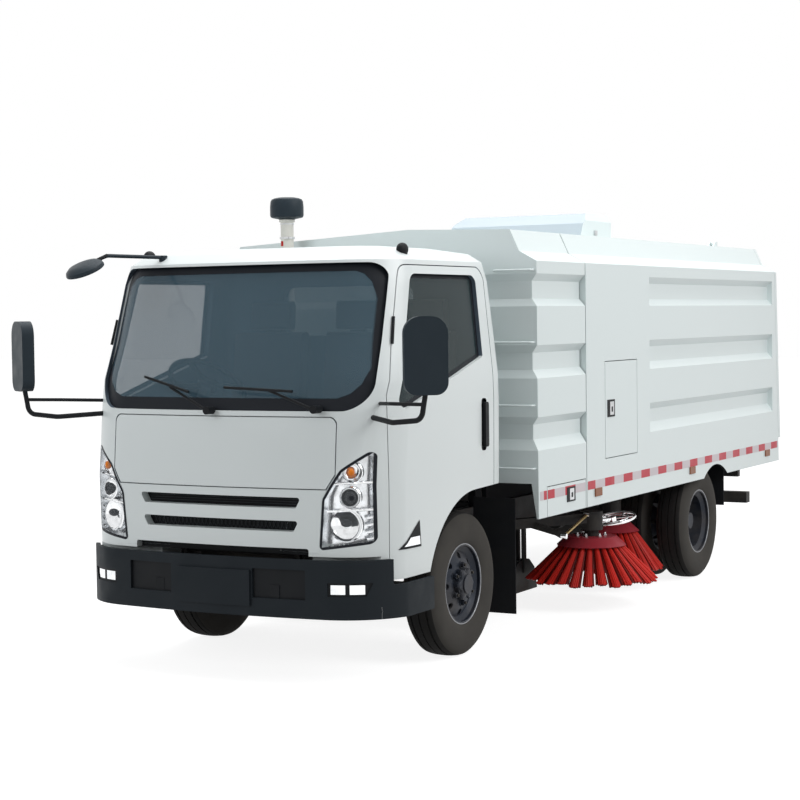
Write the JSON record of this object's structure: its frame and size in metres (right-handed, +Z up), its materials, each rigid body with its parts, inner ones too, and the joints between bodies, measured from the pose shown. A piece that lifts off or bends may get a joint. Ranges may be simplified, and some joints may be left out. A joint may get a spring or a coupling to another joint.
{
  "type": "street sweeper truck",
  "caption": "Road sweeper truck with a tilting cab, a ribbed tipping hopper and disc brushes between the axles.",
  "frame": {"origin": "on the ground under the middle of the whole vehicle", "axes": "+X to the vehicle's left, +Y to the rear, +Z up"},
  "size_m": [2.62, 6.41, 2.523],
  "materials": {
    "cab_paint": "gloss white paint",
    "body_paint": "gloss white paint",
    "chassis_black": "satin black paint",
    "bumper_plastic": "grained dark plastic",
    "black_plastic": "dark plastic",
    "lamp_clear": "clear lamp cover",
    "window_glass": "tinted glass",
    "dash_plastic": "grained plastic",
    "seat_cloth": "woven cloth",
    "tyre_rubber": "dusty rubber",
    "rim_steel": "dark blue-grey paint",
    "rubber_black": "dull rubber",
    "cast_metal": "cast and painted black",
    "tank_paint": "black paint",
    "brush_red": "red plastic bristle",
    "mast_paint": "off-white paint",
    "hydraulic_steel": "ground steel"
  },
  "bodies": {
    "chassis": {"frame": "chassis_black", "front_bumper": "bumper_plastic", "chassis_lamps": "lamp_clear", "mud_flaps": "rubber_black", "leaf_springs": "cast_metal", "front_axle": "cast_metal", "rear_axle": "cast_metal", "engine": "cast_metal", "drive_line": "cast_metal", "radiator": "cast_metal", "fuel_tank": "tank_paint", "auxiliary_engine": "cast_metal", "housing": "body_paint", "intake_mast": "mast_paint", "suction_nozzle": "chassis_black"},
    "cab": {"cab_shell": "cab_paint", "cab_glass": "window_glass", "grille": "cab_paint", "headlamps": "lamp_clear", "dashboard": "dash_plastic", "seats": "seat_cloth", "mirrors": "black_plastic", "wipers": "black_plastic"},
    "door_left": {"door_left": "cab_paint", "door_glass_left": "window_glass"},
    "door_right": {"door_right": "cab_paint", "door_glass_right": "window_glass"},
    "front_lid": {"front_lid": "cab_paint"},
    "steering_wheel": {"steering_wheel": "black_plastic"},
    "knuckle_left": {"knuckle_left": "cast_metal"},
    "knuckle_right": {"knuckle_right": "cast_metal"},
    "tie_rod": {"tie_rod": "cast_metal"},
    "wheel_front_left": {"front_tyre_left": "tyre_rubber", "front_rim_left": "rim_steel"},
    "wheel_front_right": {"front_tyre_right": "tyre_rubber", "front_rim_right": "rim_steel"},
    "wheels_rear_left": {"rear_tyres_left": "tyre_rubber", "rear_rims_left": "rim_steel"},
    "wheels_rear_right": {"rear_tyres_right": "tyre_rubber", "rear_rims_right": "rim_steel"},
    "hopper": {"hopper": "body_paint", "roof_hood": "body_paint"},
    "tailgate": {"tailgate": "body_paint"},
    "hopper_door_left": {"hopper_door_left": "body_paint"},
    "hopper_door_right": {"hopper_door_right": "body_paint"},
    "skirt_flap_left": {"skirt_flap_left": "body_paint"},
    "skirt_flap_right": {"skirt_flap_right": "body_paint"},
    "front_brush_arm_left": {"front_brush_arm_left": "chassis_black"},
    "front_brush_arm_right": {"front_brush_arm_right": "chassis_black"},
    "rear_brush_arm_left": {"rear_brush_arm_left": "chassis_black"},
    "rear_brush_arm_right": {"rear_brush_arm_right": "chassis_black"},
    "front_brush_left": {"front_brush_left": "brush_red"},
    "front_brush_right": {"front_brush_right": "brush_red"},
    "rear_brush_left": {"rear_brush_left": "brush_red"},
    "rear_brush_right": {"rear_brush_right": "brush_red"},
    "hoist_barrel": {"hoist_barrel": "chassis_black"},
    "hoist_rod": {"hoist_rod": "hydraulic_steel"}
  },
  "joints": [
    {"name": "cab_tilt", "type": "hinge", "parent": "chassis", "child": "cab", "pos_m": [0, -2.775, 0.725], "axis": [1, 0, 0], "range_deg": [0, 45]},
    {"name": "door_left_hinge", "type": "hinge", "parent": "cab", "child": "door_left", "pos_m": [0.884, -2.7725, 1.3], "axis": [0, 0, -1], "range_deg": [0, 70]},
    {"name": "door_right_hinge", "type": "hinge", "parent": "cab", "child": "door_right", "pos_m": [-0.884, -2.7725, 1.3], "axis": [0, 0, 1], "range_deg": [0, 70]},
    {"name": "front_lid_hinge", "type": "hinge", "parent": "cab", "child": "front_lid", "pos_m": [0, -2.961, 1.34], "axis": [-1, 0, 0], "range_deg": [0, 60]},
    {"name": "steering_wheel_turn", "type": "hinge", "parent": "cab", "child": "steering_wheel", "pos_m": [-0.45, -2.375, 1.465], "axis": [0, 0.6428, 0.766], "range_deg": [-520, 520]},
    {"name": "steer_left", "type": "hinge", "parent": "chassis", "child": "knuckle_left", "pos_m": [0.6, -1.875, 0.3875], "axis": [0, 0, 1], "range_deg": [-32, 32]},
    {"name": "steer_right", "type": "hinge", "parent": "chassis", "child": "knuckle_right", "pos_m": [-0.6, -1.875, 0.3875], "axis": [0, 0, 1], "range_deg": [-32, 32]},
    {"name": "tie_rod_turn", "type": "hinge", "parent": "knuckle_left", "child": "tie_rod", "pos_m": [0.6, -1.67, 0.268], "axis": [0, 0, 1], "range_deg": [-32, 32]},
    {"name": "wheel_front_left", "type": "hinge", "parent": "knuckle_left", "child": "wheel_front_left", "pos_m": [0.755, -1.875, 0.3875], "axis": [1, 0, 0], "continuous": true},
    {"name": "wheels_rear_left", "type": "hinge", "parent": "chassis", "child": "wheels_rear_left", "pos_m": [0.76, 1.485, 0.3875], "axis": [1, 0, 0], "continuous": true},
    {"name": "wheel_front_right", "type": "hinge", "parent": "knuckle_right", "child": "wheel_front_right", "pos_m": [-0.755, -1.875, 0.3875], "axis": [1, 0, 0], "continuous": true},
    {"name": "wheels_rear_right", "type": "hinge", "parent": "chassis", "child": "wheels_rear_right", "pos_m": [-0.76, 1.485, 0.3875], "axis": [1, 0, 0], "continuous": true},
    {"name": "hopper_tip", "type": "hinge", "parent": "chassis", "child": "hopper", "pos_m": [0, 2.875, 0.72], "axis": [-1, 0, 0], "range_deg": [0, 45]},
    {"name": "tailgate_hinge", "type": "hinge", "parent": "hopper", "child": "tailgate", "pos_m": [0, 3.05, 2.345], "axis": [1, 0, 0], "range_deg": [0, 80]},
    {"name": "hopper_door_left_hinge", "type": "hinge", "parent": "hopper", "child": "hopper_door_left", "pos_m": [1.05, 0.1525, 1.2465], "axis": [0, 0, 1], "range_deg": [0, 90]},
    {"name": "skirt_flap_left_hinge", "type": "hinge", "parent": "chassis", "child": "skirt_flap_left", "pos_m": [1.05, -0.96, 0.8595], "axis": [0, -1, 0], "range_deg": [0, 80]},
    {"name": "front_brush_arm_left_swing", "type": "hinge", "parent": "chassis", "child": "front_brush_arm_left", "pos_m": [0.44, -0.545, 0.6], "axis": [-1, 0, 0], "range_deg": [0, 7]},
    {"name": "rear_brush_arm_left_swing", "type": "hinge", "parent": "chassis", "child": "rear_brush_arm_left", "pos_m": [0.42, 0.805, 0.56], "axis": [0, 1, 0], "range_deg": [0, 8]},
    {"name": "front_brush_left_spin", "type": "hinge", "parent": "front_brush_arm_left", "child": "front_brush_left", "pos_m": [0.78, 0.045, 0.38], "axis": [0, 0, 1], "continuous": true},
    {"name": "rear_brush_left_spin", "type": "hinge", "parent": "rear_brush_arm_left", "child": "rear_brush_left", "pos_m": [0.6, 0.805, 0.38], "axis": [0, 0, 1], "continuous": true},
    {"name": "hopper_door_right_hinge", "type": "hinge", "parent": "hopper", "child": "hopper_door_right", "pos_m": [-1.05, 0.1525, 1.2465], "axis": [0, 0, -1], "range_deg": [0, 90]},
    {"name": "skirt_flap_right_hinge", "type": "hinge", "parent": "chassis", "child": "skirt_flap_right", "pos_m": [-1.05, -0.96, 0.8595], "axis": [0, 1, 0], "range_deg": [0, 80]},
    {"name": "front_brush_arm_right_swing", "type": "hinge", "parent": "chassis", "child": "front_brush_arm_right", "pos_m": [-0.44, -0.545, 0.6], "axis": [-1, 0, 0], "range_deg": [0, 7]},
    {"name": "rear_brush_arm_right_swing", "type": "hinge", "parent": "chassis", "child": "rear_brush_arm_right", "pos_m": [-0.42, 0.805, 0.56], "axis": [0, -1, 0], "range_deg": [0, 8]},
    {"name": "front_brush_right_spin", "type": "hinge", "parent": "front_brush_arm_right", "child": "front_brush_right", "pos_m": [-0.78, 0.045, 0.38], "axis": [0, 0, 1], "continuous": true},
    {"name": "rear_brush_right_spin", "type": "hinge", "parent": "rear_brush_arm_right", "child": "rear_brush_right", "pos_m": [-0.6, 0.805, 0.38], "axis": [0, 0, 1], "continuous": true},
    {"name": "hoist_swing", "type": "hinge", "parent": "chassis", "child": "hoist_barrel", "pos_m": [0, 1.075, 0.54], "axis": [1, 0, 0], "range_deg": [0, 17.45]},
    {"name": "hoist_extend", "type": "slide", "parent": "hoist_barrel", "child": "hoist_rod", "axis": [0, 0.9564, 0.292], "range_m": [0, 0.5504]}
  ],
  "couplings": [
    {"joint": "steering_wheel_turn", "follows": "steer_left", "ratio": 16},
    {"joint": "steer_right", "follows": "steer_left", "ratio": 1},
    {"joint": "tie_rod_turn", "follows": "steer_left", "ratio": -1},
    {"joint": "hoist_swing", "follows": "hopper_tip", "ratio": 0.37671},
    {"joint": "hoist_extend", "follows": "hopper_tip", "m_per_rad": 0.69447}
  ]
}
